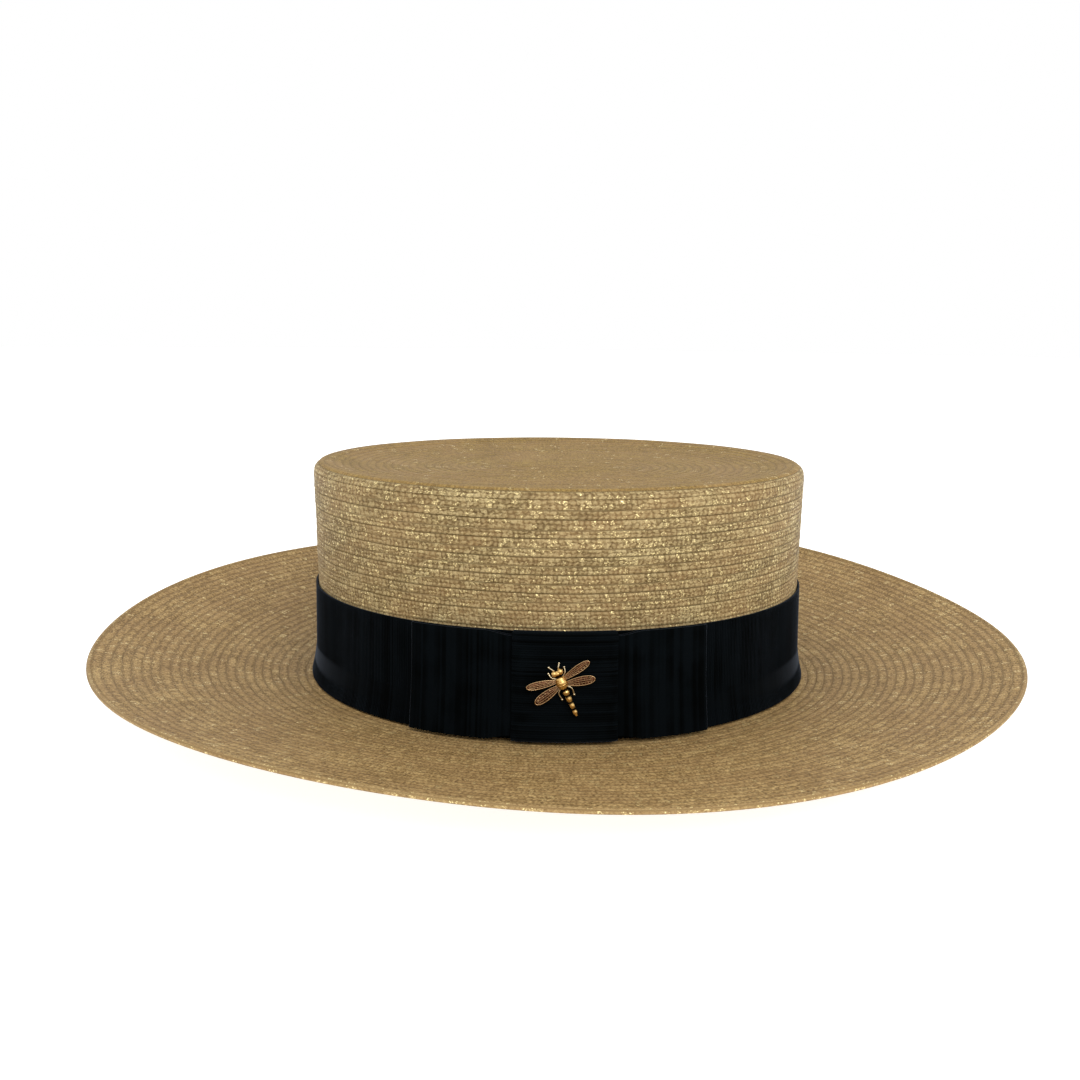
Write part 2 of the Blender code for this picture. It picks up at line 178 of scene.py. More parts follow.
# The limbs of one side, from root to end in mm: a feeler, a front leg and a back leg.
LIMBS = (
    ((0.5, -1.1, 8.3), (1.2, -1.3, 9.4), (1.9, -0.9, 10.4)),
    ((1.1, -0.9, 5.6), (2.5, -1.0, 6.8), (2.9, -0.55, 8.4)),
    ((1.2, -0.9, 2.0), (2.4, -0.9, 0.6), (2.2, -0.55, -1.8)),
)
LIMB_RADIUS = 0.23 * MM
RIM_RADIUS = 0.17 * MM
SKIN_FACE = 0.12 * MM
SKIN_BACK = -0.25 * MM
SKIN_RIPPLE = 0.07 * MM
SKIN_RIPPLE_STEP = 0.45 * MM
VEIN_HEIGHT = 0.2 * MM
VEIN_CREST = 0.22 * MM
VEIN_SKEW = 0.5 * MM
LONG_VEIN_RADIUS = 0.09 * MM
CROSS_VEIN_RADIUS = 0.07 * MM
WING_LIFT = math.radians(5)
WING_ROOT_ASIDE = 0.6 * MM
Wing = namedtuple("Wing", "root_height length width slant")
WINGS = (
    Wing(4.7 * MM, 11.2 * MM, 3.2 * MM, math.radians(13)),
    Wing(3.1 * MM, 10.6 * MM, 3.9 * MM, math.radians(-12)),
)

# How one kind of braid looks: its width, the rows of strands in it and the braids from one sewn
# line to the next; as numbers up to 1 the share of glinting strands, the relief, which also sets the
# painted shade in the pits and the painted highlight on the crests, the painted shade between two rows
# and how clearly the thread shows; and its darkest, middle and lightest straw.
Straw = namedtuple("Straw", "width rows line_every glints relief hollows stitching dark middling light")
STRAWS = {
    "side": Straw(width=BRAID, rows=2.0, line_every=2.0, glints=0.33, relief=0.7, hollows=0.08,
                  stitching=0.5, dark="#6c5735", middling="#89744a", light="#bca87a"),
    # The tip is sewn from the same flat braid as the brim, but its straw is painted darker: painted shade
    # that offsets the stronger light falling on the top.
    "tip": Straw(width=FLAT_BRAID, rows=1.0, line_every=1.0, glints=0.04, relief=0.35, hollows=0.16,
                 stitching=0.1, dark="#72592c", middling="#8c7038", light="#ac9052"),
    "brim": Straw(width=FLAT_BRAID, rows=1.0, line_every=1.0, glints=0.08, relief=0.4, hollows=0.3,
                  stitching=0.1, dark="#7b6037", middling="#a08150", light="#cbad76"),
    "edge": Straw(width=FLAT_BRAID, rows=2.0, line_every=1.0, glints=0.3, relief=0.4, hollows=0.1,
                  stitching=0.5, dark="#836840", middling="#9a7d4f", light="#b99e6d"),
}
ROSY_STRAW = "#9b7b50"
# The colour of the painted shade in the pits, in the gaps between groups of strands and along the lines
# between rows.
PAINTED_PIT_SHADE = "#453215"
GOLD_YARN = "#f0dca0"
# The sewing thread: a stitch in mm, the share of it that shows, and the thread's place and half
# its width as shares of a braid. Then the heights that are given by bump alone.
STITCH = 2.6
STITCH_SEEN = 0.74
THREAD_PLACE = 0.075
THREAD_HALF = 0.03
STRAND_BUMP = 0.45 * MM
WARP_BUMP = 0.06 * MM
CASTING_BUMP = 0.05 * MM
SKIN_BUMP = 0.06 * MM

# The camera as fitted to the picture, whose side is 1080 pixels.
PICTURE = 1080
FOCAL_PIXELS = 1017.6
MIDDLE_PIXEL = 558.3
SENSOR = 36.0
CAMERA_PLACE = (0.0, -417.5 * MM, 141.6 * MM)
CAMERA_DOWN = 0.2061
CAMERA_ROLL = 0.0109

# One softbox in front, high and a little to the right, in a white room.
SOFTBOX_PLACE = (0.35, -0.85, 0.72)
SOFTBOX_AIM = (0, -0.05, 0.02)
SOFTBOX_SIZE = (0.6, 0.45)
SOFTBOX_POWER = 4.6
FLOOR_RADIUS = 6.0
FLOOR_GLOW = 0.82


# Shapes shared by the pieces

def ring_points(radius, height, angle):
    """Points on ovals; the three arrays are spread over each other."""
    radius, height, angle = np.broadcast_arrays(radius, height, angle)
    return np.stack([(radius + STRETCH) * np.cos(angle), radius * np.sin(angle), height], -1)


def smooth_profile(points, reach):
    """Dense points along a profile with its corners eased over a reach, and the distance along it."""
    points = np.array(points)
    travelled = np.concatenate([[0], np.cumsum(np.linalg.norm(np.diff(points, axis=0), axis=1))])
    step = 0.25 * MM
    places = np.linspace(0, travelled[-1], int(travelled[-1] / step) + 1)
    line = np.stack([np.interp(places, travelled, points[:, axis]) for axis in (0, 1)], -1)
    half = int(reach / step / 2)
    padded = np.concatenate([2 * line[0] - line[half:0:-1], line, 2 * line[-1] - line[-2:-half - 2:-1]])
    kernel = np.ones(2 * half + 1) / (2 * half + 1)
    eased = np.stack([np.convolve(padded[:, axis], kernel, "valid") for axis in (0, 1)], -1)
    return places, eased


def crown_radius(height):
    """Radius of the crown's outer surface at a height on its side, with its bends eased."""
    rows = [(CROWN_FOOT_RADIUS - row.inset, row.height) for row in CROWN_SIDE]
    eased = smooth_profile(rows, SIDE_EASE)[1]
    return np.interp(height, eased[:, 1], eased[:, 0])


def front_points(turn, out, height):
    """Points on the bow's side, by their turn from its centre line and distance off the crown."""
    return ring_points(crown_radius(height) + out, height, turn - math.pi / 2)


def front_turn(across):
    return np.arcsin(across / BOW_REACH)


def normals(points):
    """Unit normals of a net of points whose rows run round the piece."""
    along = np.roll(points, -1, 1) - np.roll(points, 1, 1)
    across = np.gradient(points, axis=0)
    found = np.cross(along, across)
    length = np.linalg.norm(found, axis=-1, keepdims=True)
    return found / np.maximum(length, 1e-12)


def length_along(points, across):
    """Distance in mm along a closed net, alike in all rows of one braid, the join as last column."""
    steps = np.linalg.norm(np.roll(points, -1, 1) - points, axis=-1)
    travelled = np.concatenate([np.zeros((len(points), 1)), np.cumsum(steps, axis=1)], axis=1) / MM
    braids = np.floor(across + 1e-6)
    for braid in np.unique(braids):
        mine = braids == braid
        travelled[mine] = travelled[mine].mean(axis=0)
    return travelled


def net_piece(name, points, along, across, materials, open_after=(), closed_across=False, sharp=40,
              finish_rows=None):
    """A piece from a net of points: rows go round it, and along and across make its pattern map."""
    rows, columns = points.shape[:2]
    across = np.repeat(across[:, None], columns + 1, axis=1)
    first = np.arange(rows if closed_across else rows - 1)
    first = np.array([row for row in first if row not in open_after])
    row, column = np.meshgrid(first, np.arange(columns), indexing="ij")
    next_row = (row + 1) % rows
    next_column = (column + 1) % columns
    faces = np.stack([row * columns + column, row * columns + next_column,
                      next_row * columns + next_column, next_row * columns + column], -1)
    mesh = bpy.data.meshes.new(name)
    mesh.from_pydata(points.reshape(-1, 3).tolist(), [], faces.reshape(-1, 4).tolist())
    corner_rows = np.stack([row, row, next_row, next_row], -1)
    corner_columns = np.stack([column, column + 1, column + 1, column], -1)
    pattern = np.stack([along[corner_rows, corner_columns], across[corner_rows, corner_columns]], -1)
    mesh.uv_layers.new(name="pattern").uv.foreach_set("vector", pattern.astype(np.float32).ravel())
    for material in materials:
        mesh.materials.append(material)
    if finish_rows is not None:
        mesh.polygons.foreach_set("material_index", finish_rows[row].astype(np.int32).ravel())
    weld = bmesh.new()
    weld.from_mesh(mesh)
    bmesh.ops.remove_doubles(weld, verts=weld.verts, dist=0.002 * MM)
    weld.to_mesh(mesh)
    weld.free()
    return new_piece(name, mesh, sharp)


def new_object(name, data):
    made = bpy.data.objects.new(name, data)
    bpy.context.scene.collection.objects.link(made)
    return made


def new_piece(name, mesh, sharp=40):
    mesh.validate()
    mesh.shade_smooth()
    mesh.set_sharp_from_angle(angle=math.radians(sharp))
    return new_object(name, mesh)


def take_part(piece, node):
    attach(piece, "root")
    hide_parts(node)


# Sewn braid

def hat_angles(count):
    """Angles round the hat; the braid's join, where they start, is on the side away from the bow."""
    return np.arange(count) * 2 * math.pi / count - 1.5 * math.pi


def slow_waves(chance, angle, size):
    """A closed line that wanders slowly round the hat."""
    line = np.zeros_like(angle)
    for turns in (1, 2, 3, 5, 8, 13):
        line += chance.normal() / math.sqrt(turns) * np.cos(turns * angle + chance.uniform(0, 2 * math.pi))
    return line * size / 1.5


def sewn_rows(sections, widths, angle, chance):
    """Where the net's rows lie, from a section and a width for each braid: the distance from the
    first braid, the height over the wall, and the place in the pattern, counted in whole braids."""
    count = len(sections)
    ends = np.concatenate([[0], np.cumsum(widths)])
    seams = ends[:, None] + np.stack([slow_waves(chance, angle, ROW_WANDER) for _ in ends])
    seams[0] = 0
    seams[-1] = ends[-1]
    puckers = np.stack([slow_waves(chance, angle, ROW_PUCKER) for _ in ends])
    places, heights, across = [], [], []
    for braid in range(count):
        shown = min(1.0, widths[braid] / np.median(widths))
        for point in sections[braid]:
            places.append(seams[braid] + point.place * (seams[braid + 1] - seams[braid]))
            ease = point.place * (puckers[braid + 1] - puckers[braid])
            heights.append(point.height + puckers[braid] + ease)
            across.append(braid + point.place * shown)
    return np.array(places), np.array(heights), np.array(across)


def along_profile(profile, places, angle):
    """Points on a profile of (radius, height) at places along it, and its outward direction there."""
    travelled, line = profile
    radius = np.interp(places, travelled, line[:, 0])
    height = np.interp(places, travelled, line[:, 1])
    tangent = np.stack([np.gradient(line[:, 0], travelled), np.gradient(line[:, 1], travelled)], -1)
    slope = np.stack([np.interp(places, travelled, tangent[:, axis]) for axis in (0, 1)], -1)
    slope /= np.linalg.norm(slope, axis=-1, keepdims=True)
    outward = np.stack([slope[..., 1] * np.cos(angle), slope[..., 1] * np.sin(angle), -slope[..., 0]], -1)
    return ring_points(radius, height, angle), outward


def crown_profile(inward):
    """Radius and height from the crown's foot over the shoulder to the middle of the tip."""
    wall = [(CROWN_FOOT_RADIUS - row.inset - inward, row.height) for row in CROWN_SIDE]
    tip_radius = CROWN_FOOT_RADIUS - CROWN_SIDE[-1].inset - SHOULDER_RADIUS
    base = CROWN_HEIGHT - SHOULDER_RADIUS
    bend = SHOULDER_RADIUS - inward
    for turn in np.radians([15, 30, 45, 60, 75, 90]):
        wall.append((tip_radius + bend * math.cos(turn), base + bend * math.sin(turn)))
    wall += [(tip_radius * row.share, CROWN_HEIGHT - row.dip - inward) for row in CROWN_TIP]
    return smooth_profile(wall, SHOULDER_EASE)


def free_edge_first(section):
    return [BraidPoint(1 - point.place, point.height) for point in reversed(section)]


def paired_rows(count, first, second):
    """Sections for rows that come in pairs, each turned so that its free edge is first."""
    pair = [free_edge_first(first), free_edge_first(second)]
    return [pair[row % 2] for row in range(count)]


def make_crown(side_straw, tip_straw):
    """Outside from the foot to the middle of the tip, then the inside back to the foot."""
    chance = np.random.default_rng(11)
    angle = hat_angles(AROUND_CROWN)
    outside = crown_profile(0)
    side_end = sum(SIDE_WIDTHS)
    tip_count = round((outside[0][-1] - side_end) / FLAT_BRAID)
    tip_width = (outside[0][-1] - side_end) / tip_count
    side_sections = paired_rows(len(SIDE_WIDTHS), RAISED_SECTION, DEEP_SECTION)
    # The tip is sewn on over the last row, which shows as a second deep line at the shoulder.
    side_sections[-1] = free_edge_first(DEEP_SECTION)
    side_places, side_heights, side_across = sewn_rows(side_sections, SIDE_WIDTHS, angle, chance)
    tip_sections = paired_rows(tip_count, FLAT_SECTION, SOFT_SECTION)
    tip_places, tip_heights, tip_across = sewn_rows(tip_sections, [tip_width] * tip_count, angle, chance)
    places = np.concatenate([side_places, side_end + tip_places])
    heights = np.concatenate([side_heights, tip_heights])
    outer, outward = along_profile(outside, places, angle)
    outer = outer + outward * heights[..., None]
    outer[-1] = ring_points(0, outer[-1, :, 2].mean(), angle)
    inside = crown_profile(STRAW)
    count = round(inside[0][-1] / BACK_BRAID)
    places, heights, inner_across = sewn_rows([BACK_SECTION] * count, [inside[0][-1] / count] * count,
                                              angle, chance)
    inner, outward = along_profile(inside, places, angle)
    inner = inner - outward * heights[..., None]
    inner[-1] = ring_points(0, inner[-1, :, 2].mean(), angle)
    points = np.concatenate([outer, inner[::-1]])
    outer_across = np.concatenate([side_across, len(SIDE_WIDTHS) + tip_across])
    across = np.concatenate([outer_across, inner_across[::-1]])
    crown = net_piece("crown_braid", points, length_along(points, across), across, (side_straw, tip_straw),
                      open_after=(len(outer) - 1,), closed_across=True,
                      finish_rows=across >= len(SIDE_WIDTHS))
    take_part(crown, "crown")


def edge_rise(angle):
    rise = EDGE_RISE
    for wave in EDGE_WAVES:
        turned = wave.turns * angle
        rise = rise + wave.along_x * np.cos(turned) + wave.along_y * np.sin(turned)
    return rise


def brim_lift(radius, angle):
    share = np.clip((radius - FOOT_RADIUS) / (BRIM_RADIUS - FOOT_RADIUS), 0, None)
    return (BRIM_STRAIGHT * share + (1 - BRIM_STRAIGHT) * share * share) * edge_rise(angle)


def brim_face(start, end, sections, angle, chance, lift):
    """Rows of braid from one radius to another, lying on the brim's rise."""
    widths = [abs(end - start) / len(sections)] * len(sections)
    places, heights, across = sewn_rows(sections, widths, angle, chance)
    radius = start + math.copysign(1, end - start) * places
    return ring_points(radius, brim_lift(radius, angle) + lift + heights, angle), across


def make_brim(flat_straw, edge_straw):
    """The top from the edge to the margin under the crown, and the underside back to the edge."""
    chance = np.random.default_rng(23)
    angle = hat_angles(AROUND_BRIM)
    bead_inner = BRIM_RADIUS - 1.9 * EDGE_BEAD
    count = round((bead_inner - FOOT_INNER_RADIUS) / FLAT_BRAID)
    rows_above = paired_rows(count, FLAT_SECTION, SOFT_SECTION)
    top, top_across = brim_face(bead_inner, FOOT_INNER_RADIUS, rows_above, angle, chance, STRAW)
    rows_below = [BACK_SECTION] * (count // 2)
    below, below_across = brim_face(FOOT_INNER_RADIUS, bead_inner, rows_below, angle, chance, 0)
    flat = below[..., 2] < 0.1 * MM
    below[..., 2] = np.where(flat, np.maximum(below[..., 2], 0), below[..., 2])
    wander = slow_waves(chance, angle, ROW_PUCKER)
    bead = []
    for turn in np.radians([-150, -115, -80, -45, -10, 25, 60, 95, 130, 160]):
        radius = BRIM_RADIUS - EDGE_BEAD + EDGE_BEAD * math.cos(turn)
        height = brim_lift(BRIM_RADIUS, angle) + STRAW / 2 + EDGE_BEAD * math.sin(turn) + wander
        bead.append(ring_points(radius, height, angle))
    points = np.concatenate([top, below, np.array(bead)])
    bead_across = count + np.linspace(0.1, 1.55, len(bead))
    across = np.concatenate([top_across, below_across, bead_across])
    brim = net_piece("brim_braid", points, length_along(points, across), across, (flat_straw, edge_straw),
                     closed_across=True, finish_rows=across >= count)
    take_part(brim, "brim")


# Ribbon

def ribbon_piece(name, middle, node, material):
    """A closed loop of ribbon with raised ribs across it; rows run along its length."""
    rows, columns = middle.shape[:2]
    outward = normals(middle)
    edge = np.minimum(np.arange(rows), np.arange(rows)[::-1])[:, None]
    ribs = RIB_HEIGHT * np.cos(2 * math.pi * np.arange(columns) / POINTS_PER_RIB)[None, :]
    raised = np.where(edge < 1, 0.35, 1.0) * ribs
    face = middle + outward * (PLY / 2 + raised)[..., None]
    back = middle - outward * PLY / 2
    back = back[[0, rows // 2, -1]][::-1]
    points = np.concatenate([face, back])
    width = RIBBON_WIDTH / MM
    across = np.concatenate([np.linspace(0, width, rows), np.linspace(width, 0, 3)])
    piece = net_piece(name, points, length_along(points, 0 * across), across, (material,),
                      closed_across=True, sharp=60)
    take_part(piece, node)


def even_ribs(path):
    """The closed path cut into whole ribs: where its points lie along it, as shares of its steps."""
    steps = np.linalg.norm(np.roll(path, -1, 0) - path, axis=1)
    travelled = np.concatenate([[0], np.cumsum(steps)])
    count = round(travelled[-1] / RIB) * POINTS_PER_RIB
    places = np.arange(count) / count * travelled[-1]
    return np.interp(places, travelled, np.arange(len(travelled)))


def resample(values, stations):
    """Values of a closed path read between its points."""
    closed = np.concatenate([values, values[:1]])
    return np.interp(stations, np.arange(len(closed)), closed)


def make_band(ribbon):
    angle = -math.pi / 2 + np.linspace(0, 2 * math.pi, 721)[:-1]
    path = ring_points(CROWN_FOOT_RADIUS, 0, angle)
    stations = even_ribs(path)
    around = -math.pi / 2 + stations * 2 * math.pi / len(angle)
    share = np.array([0, 0.012, 0.05, 0.13, 0.22, 0.32, 0.45, 0.6, 0.75, 0.88, 0.96, 0.988, 1.0])
    heights = (BAND_BOTTOM + share * RIBBON_WIDTH)[:, None]
    middle = ring_points(crown_radius(heights) + BAND_OUT, heights, around[None, :])
    ribbon_piece("ribbon_band_ribbed", middle, "ribbon_band", ribbon)


def pinch_share(turn):
    """1 under the knot, fading to 0 along each ear."""
    across = np.sin(turn) * BOW_REACH
    beyond = np.maximum(KNOT_LEFT - PINCH_MARGIN - across, across - KNOT_RIGHT - PINCH_MARGIN)
    share = np.clip(1 - np.maximum(beyond, 0) / PINCH_LENGTH, 0, 1)
    return share * share * (3 - 2 * share)


def make_bow_loops(ribbon):
    """One flattened loop, whose two ends are the ears of the bow."""
    turns = front_turn(np.linspace(BOW_LEFT, BOW_RIGHT, 160))
    swings = np.radians(np.arange(15, 180, 15))
    reach = LOOP_FOLD * np.sin(swings) / (CROWN_FOOT_RADIUS + STRETCH)
    fold_out = LOOP_BACK_OUT + LOOP_FOLD - LOOP_FOLD * np.cos(swings)
    turn = np.concatenate([turns, turns[-1] + reach, turns[::-1], turns[0] - reach])
    out = np.concatenate([np.full(len(turns), LOOP_BACK_OUT), fold_out,
                          np.full(len(turns), LOOP_FRONT_OUT), fold_out[::-1]])
    path = front_points(turn, out, np.full(len(turn), BAND_TOP / 2))
    stations = even_ribs(path)
    turn = resample(turn, stations)
    out = resample(out, stations)
    on_front = np.clip((out - LOOP_BACK_OUT) / (2 * LOOP_FOLD), 0, 1)
    drawn = pinch_share(turn)
    share = np.array([0, 0.012, 0.05, 0.13, 0.22, 0.35, 0.5, 0.65, 0.78, 0.87, 0.95, 0.988, 1.0])
    low = LOOP_BOTTOM + PINCH * drawn
    high = LOOP_TOP - PINCH * drawn
    heights = low + (high - low) * share[:, None]
    belly = np.sin(math.pi * share)[:, None] * on_front * (LOOP_BELLY * (1 - drawn) - LOOP_PULL * drawn)
    middle = front_points(turn, out + belly, heights)
    ribbon_piece("bow_loops_ribbed", middle, "bow_loops", ribbon)


def make_bow_knot(ribbon):
    """A short closed loop of ribbon, wrapped upright round the middle of the bow."""
    low = LOOP_BOTTOM + PINCH - KNOT_SLACK - RIBBON_SOLID / 2
    high = LOOP_TOP - PINCH + KNOT_SLACK + RIBBON_SOLID / 2
    quarter = np.radians(np.arange(0, 91, 15))
    corners = (
        (KNOT_FRONT_OUT - KNOT_BEND, high - KNOT_BEND, math.pi / 2),
        (KNOT_FRONT_OUT - KNOT_BEND, low + KNOT_BEND, 0.0),
        (KNOT_BACK_OUT + KNOT_BEND, low + KNOT_BEND, -math.pi / 2),
        (KNOT_BACK_OUT + KNOT_BEND, high - KNOT_BEND, math.pi),
    )
    out = np.concatenate([o + KNOT_BEND * np.cos(start - quarter) for o, h, start in corners])
    height = np.concatenate([h + KNOT_BEND * np.sin(start - quarter) for o, h, start in corners])
    path = np.stack([out, height], -1)
    stations = even_ribs(path)
    out = resample(out, stations)
    height = resample(height, stations)
    share = np.array([0, 0.012, 0.04, 0.09, 0.17, 0.3, 0.5, 0.7, 0.83, 0.91, 0.96, 0.988, 1.0])
    turns = front_turn(KNOT_LEFT + share * (KNOT_RIGHT - KNOT_LEFT))
    on_front = np.clip((out - KNOT_BACK_OUT) / (KNOT_FRONT_OUT - KNOT_BACK_OUT), 0, 1)
    at_edge = np.clip(1 - np.minimum(share, 1 - share) / KNOT_CURL_SHARE, 0, 1)[:, None]
    curl = KNOT_CURL * at_edge ** 2 * on_front
    middle = front_points(turns[:, None], out - curl, height[None, :])
    ribbon_piece("bow_knot_ribbed", middle, "bow_knot", ribbon)


# The cast dragonfly

def pin_place():
    """The pin's frame: on the knot's face, its -Y along the outward normal."""
    turn = front_turn(PIN_X)
    spot = Vector(front_points(turn, PIN_OUT, PIN_HEIGHT))
    aside = (Vector(front_points(front_turn(PIN_X + MM), PIN_OUT, PIN_HEIGHT)) - spot).normalized()
    upward = Vector(front_points(turn, PIN_OUT, PIN_HEIGHT + MM)) - spot
    inward = upward.cross(aside).normalized()
    upward = aside.cross(inward)
    axes = Matrix((aside, inward, upward)).transposed().to_4x4()
    return Matrix.Translation(spot) @ axes @ Matrix.Rotation(PIN_LEAN, 4, "Y")


def rounded(values, steps):
    """More values between the given ones, each peak and hollow rounded off."""
    places = np.linspace(0, len(values) - 1, (len(values) - 1) * steps + 1)
    low = np.minimum(places.astype(int), len(values) - 2)
    share = places - low
    share = share * share * (3 - 2 * share)
    values = np.array(values)
    return values[low] + (values[low + 1] - values[low]) * share


def turned_rings(radii, heights, sides):
    """Rings of a shape turned on the pin's axis, cut flat where it would reach through the back."""
    swing = np.arange(sides) * 2 * math.pi / sides
    rings = []
    for radius, height in zip(radii, heights):
        y = np.minimum(radius * np.sin(swing) - PIN_AXIS_DEPTH, PIN_BACK)
        rings.append(np.stack([radius * np.cos(swing), y, np.full(sides, height)], -1))
    return np.array(rings)


def wire_rings(path, radii, sides=8):
    """Rings round a thin wire along a path."""
    path = np.array(path, dtype=float)
    heading = np.gradient(path, axis=0)
    heading /= np.linalg.norm(heading, axis=1, keepdims=True)
    first = np.cross(heading, np.array([0.13, 0.2, 0.97]))
    first /= np.linalg.norm(first, axis=1, keepdims=True)
    second = np.cross(heading, first)
    swing = (np.arange(sides) * 2 * math.pi / sides)[:, None]
    radii = np.broadcast_to(radii, len(path))
    return np.array([spot + radius * (a * np.cos(swing) + b * np.sin(swing))
                     for spot, radius, a, b in zip(path, radii, first, second)])


def curved_path(points, steps=6):
    """A smooth path through a few points."""
    points = np.array(points, dtype=float)
    padded = np.concatenate([[2 * points[0] - points[1]], points, [2 * points[-1] - points[-2]]])
    path = []
    for before, start, end, after in zip(padded, padded[1:], padded[2:], padded[3:]):
        for share in np.arange(steps) / steps:
            path.append(0.5 * (2 * start + (end - before) * share
                               + (2 * before - 5 * start + 4 * end - after) * share ** 2
                               + (3 * start - before - 3 * end + after) * share ** 3))
    return np.array(path + [points[-1]])


def ball_rings(middle, radius, sides=12):
    """Rings of a ball with its poles up and down."""
    rise = np.radians(np.linspace(-88, 88, 9))
    swing = np.arange(sides) * 2 * math.pi / sides
    rings = [np.stack([middle[0] + radius * math.cos(tilt) * np.cos(swing),
                       middle[1] + radius * math.cos(tilt) * np.sin(swing),
                       np.full(sides, middle[2] + radius * math.sin(tilt))], -1) for tilt in rise]
    return np.array(rings)


def cast_piece(name, shapes, place, material):
    """One casting from tubes of rings, each closed at both ends, with its hollows marked for patina."""
    builder = bmesh.new()
    mark = builder.verts.layers.float.new("hollow")
    for rings, hollows in shapes:
        made = []
        for ring, hollow in zip(rings, np.broadcast_to(hollows, len(rings))):
            row = [builder.verts.new(place @ Vector(point)) for point in ring]
            for vert in row:
                vert[mark] = float(hollow)
            made.append(row)
        for low, high in zip(made, made[1:]):
            for step in range(len(low)):
                following = (step + 1) % len(low)
                builder.faces.new((low[step], low[following], high[following], high[step]))
        builder.faces.new(made[0][::-1])
        builder.faces.new(made[-1])
    bmesh.ops.recalc_face_normals(builder, faces=builder.faces)
    mesh = bpy.data.meshes.new(name)
    builder.to_mesh(mesh)
    builder.free()
    mesh.materials.append(material)
    take_part(new_piece(name, mesh, sharp=50), "dragonfly_pin")


def dragonfly_body(place, brass):
    """Head with its eyes, thorax and ringed tail."""
    radii = rounded([row.radius for row in BODY], 5)
    heights = np.interp(np.linspace(0, len(BODY) - 1, len(radii)), np.arange(len(BODY)),
                        [row.height for row in BODY])
    radii = np.maximum(radii, 0.05 * MM)
    nearby = np.convolve(np.pad(radii, 6, "edge"), np.ones(13) / 13, "valid")
    hollows = np.clip((nearby - radii) / (0.13 * MM), 0, 1)
    shapes = [(turned_rings(radii, heights, 24), hollows)]
    for side in (1, -1):
        eye = (side * EYE_RADIUS, -EYE_OUT, EYE_HEIGHT)
        shapes.append((ball_rings(eye, EYE_RADIUS), 0.1))
    for height in THORAX_LINES:
        spread = np.radians(np.linspace(-160, -20, 15))
        radius = np.interp(-height, [-row.height for row in BODY], [row.radius for row in BODY]) + 0.02 * MM
        line = [(radius * math.cos(turn), -PIN_AXIS_DEPTH + radius * math.sin(turn), height)
                for turn in spread]
        shapes.append((wire_rings(line, THORAX_LINE_RADIUS), 0.0))
    cast_piece("dragonfly_body", shapes, place, brass)


def dragonfly_limbs(place, brass):
    """Two feelers and two pairs of legs, each with a small ball at its end."""
    shapes = []
    for side in (1, -1):
        mirror = np.array([side, 1, 1])
        for path in LIMBS:
            limb = curved_path(np.array(path) * MM)
            shapes.append((wire_rings(limb, LIMB_RADIUS) * mirror, 0.1))
            shapes.append((ball_rings(limb[-1] * mirror, 1.7 * LIMB_RADIUS), 0.0))
    cast_piece("dragonfly_limbs", shapes, place, brass)


def wing_half(wing, share):
    """Half the wing's width at a share of its length."""
    return wing.width * np.sqrt(np.maximum(share * (1 - share), 0)) * (0.5 + 0.5 * share)


def dragonfly_wings(place, brass, bronze):
    """Thin bronze membranes with raised brass rims and veins."""
    skins, veins = [], []
    for wing in WINGS:
        share = (1 - np.cos(np.linspace(0.06, math.pi - 0.04, 26))) / 2
        half = wing_half(wing, share)
        along = wing.length * share
        skin = []
        for x, reach in zip(along, half):
            across = np.concatenate([np.linspace(-1, 1, 9), np.linspace(1, -1, 9)[1:-1]]) * reach
            ripple = SKIN_RIPPLE * np.cos(across / SKIN_RIPPLE_STEP)
            depth = np.concatenate([SKIN_FACE + ripple[:9], np.full(7, SKIN_BACK)])
            skin.append(np.stack([np.full(16, x), across, depth], -1))
        skins.append((np.array(skin), wing))
        turn = np.linspace(0.0, 2 * math.pi, 49)
        rim_share = (1 - np.cos(turn)) / 2
        rim = np.stack([wing.length * rim_share, np.sign(np.sin(turn)) * wing_half(wing, rim_share),
                        np.full(49, SKIN_FACE)], -1)
        veins.append((wire_rings(rim, RIM_RADIUS), wing))
        for level in (0.5, 0.05, -0.42):
            part = np.linspace(0.03, 0.93, 20)
            line = np.stack([wing.length * part, level * wing_half(wing, part),
                             np.full(20, VEIN_HEIGHT)], -1)
            veins.append((wire_rings(line, LONG_VEIN_RADIUS), wing))
        for number in range(7):
            part = 0.25 + 0.1 * number
            reach = wing_half(wing, part)
            upper = (0.5, 0.725, 0.95) if number % 2 else (0.05, 0.275, 0.5)
            for levels in (upper, (-0.42, -0.7, -0.95)):
                heights = (VEIN_HEIGHT, VEIN_CREST, VEIN_HEIGHT)
                line = [(wing.length * part + VEIN_SKEW * step / 2, level * reach, height)
                        for step, level, height in zip(range(3), levels, heights)]
                veins.append((wire_rings(line, CROSS_VEIN_RADIUS), wing))
    for name, shapes, material in (("dragonfly_wing_skins", skins, bronze),
                                   ("dragonfly_veins", veins, brass)):
        placed = []
        for rings, wing in shapes:
            for side in (1, -1):
                turn = Matrix.Rotation(-wing.slant, 4, "Y") @ Matrix.Rotation(-WING_LIFT, 4, "Z")
                root = Matrix.Translation((WING_ROOT_ASIDE, -PIN_AXIS_DEPTH, wing.root_height))
                move = Matrix.Diagonal((side, 1, 1, 1)) @ root @ turn @ Matrix.Rotation(math.pi / 2, 4, "X")
                moved = [[tuple(move @ Vector(point)) for point in ring] for ring in rings]
                placed.append((np.array(moved), 0.0))
        cast_piece(name, placed, place, material)


# Materials

def colour(code):
    """An sRGB hex colour as the linear values that shaders take."""
    parts = [int(code[place:place + 2], 16) / 255 for place in (1, 3, 5)]
    linear = [part / 12.92 if part <= 0.04045 else ((part + 0.055) / 1.055) ** 2.4 for part in parts]
    return (*linear, 1.0)


def feed(tree, node, inputs):
    """Gives a node its inputs, each a value, a socket or another node."""
    for name, value in inputs.items():
        if isinstance(value, bpy.types.Node):
            value = value.outputs[0]
        if isinstance(value, bpy.types.NodeSocket):
            tree.links.new(value, node.inputs[name])
        else:
            node.inputs[name].default_value = value


